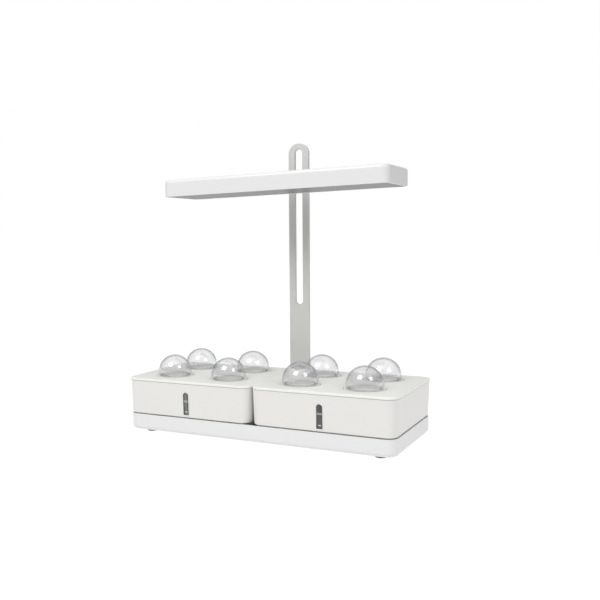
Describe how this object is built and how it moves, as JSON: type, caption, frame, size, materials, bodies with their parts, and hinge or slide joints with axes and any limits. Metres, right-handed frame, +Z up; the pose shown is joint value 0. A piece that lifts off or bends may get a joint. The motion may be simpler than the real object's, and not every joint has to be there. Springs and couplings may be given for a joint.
{
  "type": "countertop hydroponic garden",
  "caption": "Countertop hydroponic garden: lidded water tanks with net cups and clear domes on a tray, and a lamp bar that slides on a slotted post.",
  "frame": {"origin": "centre of the bounding box on the plane of the feet", "axes": "+X along the row of tanks to the viewer's right, +Y to the back, +Z up"},
  "size_m": [0.3996, 0.201, 0.4225],
  "materials": {
    "tray_white": "fine satin, moulded",
    "tank_white": "fine satin, moulded",
    "lid_white": "smooth, slightly glossy",
    "lamp_white": "satin",
    "diffuser": "translucent, satin",
    "post_grey": "fine satin, anodised",
    "socket_white": "satin",
    "clamp_grey": "satin",
    "knob_dark": "satin",
    "screw_steel": "plain zinc",
    "foot_rubber": "matt rubber",
    "bezel_pale": "smooth",
    "lens_smoke": "clear, smoked",
    "cup_white": "satin",
    "sponge_dark": "open foam",
    "dome_clear": "clear, polished",
    "button_grey": "satin",
    "board_white": "solder resist",
    "chip_yellow": "smooth",
    "black_plastic": "satin"
  },
  "bodies": {
    "base": {"base_tray": "tray_white", "foot_front_left": "foot_rubber", "foot_front_right": "foot_rubber", "foot_rear_left": "foot_rubber", "foot_rear_right": "foot_rubber", "post": "post_grey", "post_socket": "socket_white", "post_screws": "screw_steel", "plate_screws": "screw_steel"},
    "lamp": {"lamp_housing": "lamp_white", "lamp_diffuser": "diffuser", "led_board": "board_white", "led_chips": "chip_yellow", "button_switch": "black_plastic", "lamp_saddle": "lamp_white", "clamp_plate": "clamp_grey", "clamp_bolt": "screw_steel", "saddle_screws": "screw_steel", "power_inlet": "black_plastic", "inlet_pin": "screw_steel"},
    "knob": {"clamp_knob": "knob_dark"},
    "button": {"power_button": "button_grey"},
    "left_tank": {"tank_left": "tank_white", "window_bezel_left": "bezel_pale", "window_lens_left": "lens_smoke"},
    "left_lid": {"lid_left": "lid_white"},
    "left_cup_1": {"net_cup_left_1": "cup_white", "sponge_left_1": "sponge_dark"},
    "left_dome_1": {"dome_left_1": "dome_clear"},
    "left_cup_2": {"net_cup_left_2": "cup_white", "sponge_left_2": "sponge_dark"},
    "left_dome_2": {"dome_left_2": "dome_clear"},
    "left_cup_3": {"net_cup_left_3": "cup_white", "sponge_left_3": "sponge_dark"},
    "left_dome_3": {"dome_left_3": "dome_clear"},
    "left_cup_4": {"net_cup_left_4": "cup_white", "sponge_left_4": "sponge_dark"},
    "left_dome_4": {"dome_left_4": "dome_clear"},
    "right_tank": {"tank_right": "tank_white", "window_bezel_right": "bezel_pale", "window_lens_right": "lens_smoke"},
    "right_lid": {"lid_right": "lid_white"},
    "right_cup_1": {"net_cup_right_1": "cup_white", "sponge_right_1": "sponge_dark"},
    "right_dome_1": {"dome_right_1": "dome_clear"},
    "right_cup_2": {"net_cup_right_2": "cup_white", "sponge_right_2": "sponge_dark"},
    "right_dome_2": {"dome_right_2": "dome_clear"},
    "right_cup_3": {"net_cup_right_3": "cup_white", "sponge_right_3": "sponge_dark"},
    "right_dome_3": {"dome_right_3": "dome_clear"},
    "right_cup_4": {"net_cup_right_4": "cup_white", "sponge_right_4": "sponge_dark"},
    "right_dome_4": {"dome_right_4": "dome_clear"}
  },
  "joints": [
    {"name": "lamp_slide", "type": "slide", "parent": "base", "child": "lamp", "axis": [0, 0, 1], "range_m": [-0.165, 0.038]},
    {"name": "clamp_knob_turn", "type": "hinge", "parent": "lamp", "child": "knob", "pos_m": [0, 0.0935, 0.361], "axis": [0, 1, 0], "range_deg": [0, 360]},
    {"name": "power_button_press", "type": "slide", "parent": "lamp", "child": "button", "axis": [0, 0, -1], "range_m": [0, 0.001], "stiffness_N_per_m": 500, "springref_m": -0.001},
    {"name": "left_tank_lift", "type": "slide", "parent": "base", "child": "left_tank", "axis": [0, 0, 1], "range_m": [0, 0.08]},
    {"name": "left_lid_lift", "type": "slide", "parent": "left_tank", "child": "left_lid", "axis": [0, 0, 1], "range_m": [0, 0.06]},
    {"name": "left_cup_1_lift", "type": "slide", "parent": "left_lid", "child": "left_cup_1", "axis": [0, 0, 1], "range_m": [0, 0.06]},
    {"name": "left_dome_1_lift", "type": "slide", "parent": "left_cup_1", "child": "left_dome_1", "axis": [0, 0, 1], "range_m": [0, 0.04]},
    {"name": "left_cup_2_lift", "type": "slide", "parent": "left_lid", "child": "left_cup_2", "axis": [0, 0, 1], "range_m": [0, 0.06]},
    {"name": "left_dome_2_lift", "type": "slide", "parent": "left_cup_2", "child": "left_dome_2", "axis": [0, 0, 1], "range_m": [0, 0.04]},
    {"name": "left_cup_3_lift", "type": "slide", "parent": "left_lid", "child": "left_cup_3", "axis": [0, 0, 1], "range_m": [0, 0.06]},
    {"name": "left_dome_3_lift", "type": "slide", "parent": "left_cup_3", "child": "left_dome_3", "axis": [0, 0, 1], "range_m": [0, 0.04]},
    {"name": "left_cup_4_lift", "type": "slide", "parent": "left_lid", "child": "left_cup_4", "axis": [0, 0, 1], "range_m": [0, 0.06]},
    {"name": "left_dome_4_lift", "type": "slide", "parent": "left_cup_4", "child": "left_dome_4", "axis": [0, 0, 1], "range_m": [0, 0.04]},
    {"name": "right_tank_lift", "type": "slide", "parent": "base", "child": "right_tank", "axis": [0, 0, 1], "range_m": [0, 0.08]},
    {"name": "right_lid_lift", "type": "slide", "parent": "right_tank", "child": "right_lid", "axis": [0, 0, 1], "range_m": [0, 0.06]},
    {"name": "right_cup_1_lift", "type": "slide", "parent": "right_lid", "child": "right_cup_1", "axis": [0, 0, 1], "range_m": [0, 0.06]},
    {"name": "right_dome_1_lift", "type": "slide", "parent": "right_cup_1", "child": "right_dome_1", "axis": [0, 0, 1], "range_m": [0, 0.04]},
    {"name": "right_cup_2_lift", "type": "slide", "parent": "right_lid", "child": "right_cup_2", "axis": [0, 0, 1], "range_m": [0, 0.06]},
    {"name": "right_dome_2_lift", "type": "slide", "parent": "right_cup_2", "child": "right_dome_2", "axis": [0, 0, 1], "range_m": [0, 0.04]},
    {"name": "right_cup_3_lift", "type": "slide", "parent": "right_lid", "child": "right_cup_3", "axis": [0, 0, 1], "range_m": [0, 0.06]},
    {"name": "right_dome_3_lift", "type": "slide", "parent": "right_cup_3", "child": "right_dome_3", "axis": [0, 0, 1], "range_m": [0, 0.04]},
    {"name": "right_cup_4_lift", "type": "slide", "parent": "right_lid", "child": "right_cup_4", "axis": [0, 0, 1], "range_m": [0, 0.06]},
    {"name": "right_dome_4_lift", "type": "slide", "parent": "right_cup_4", "child": "right_dome_4", "axis": [0, 0, 1], "range_m": [0, 0.04]}
  ]
}
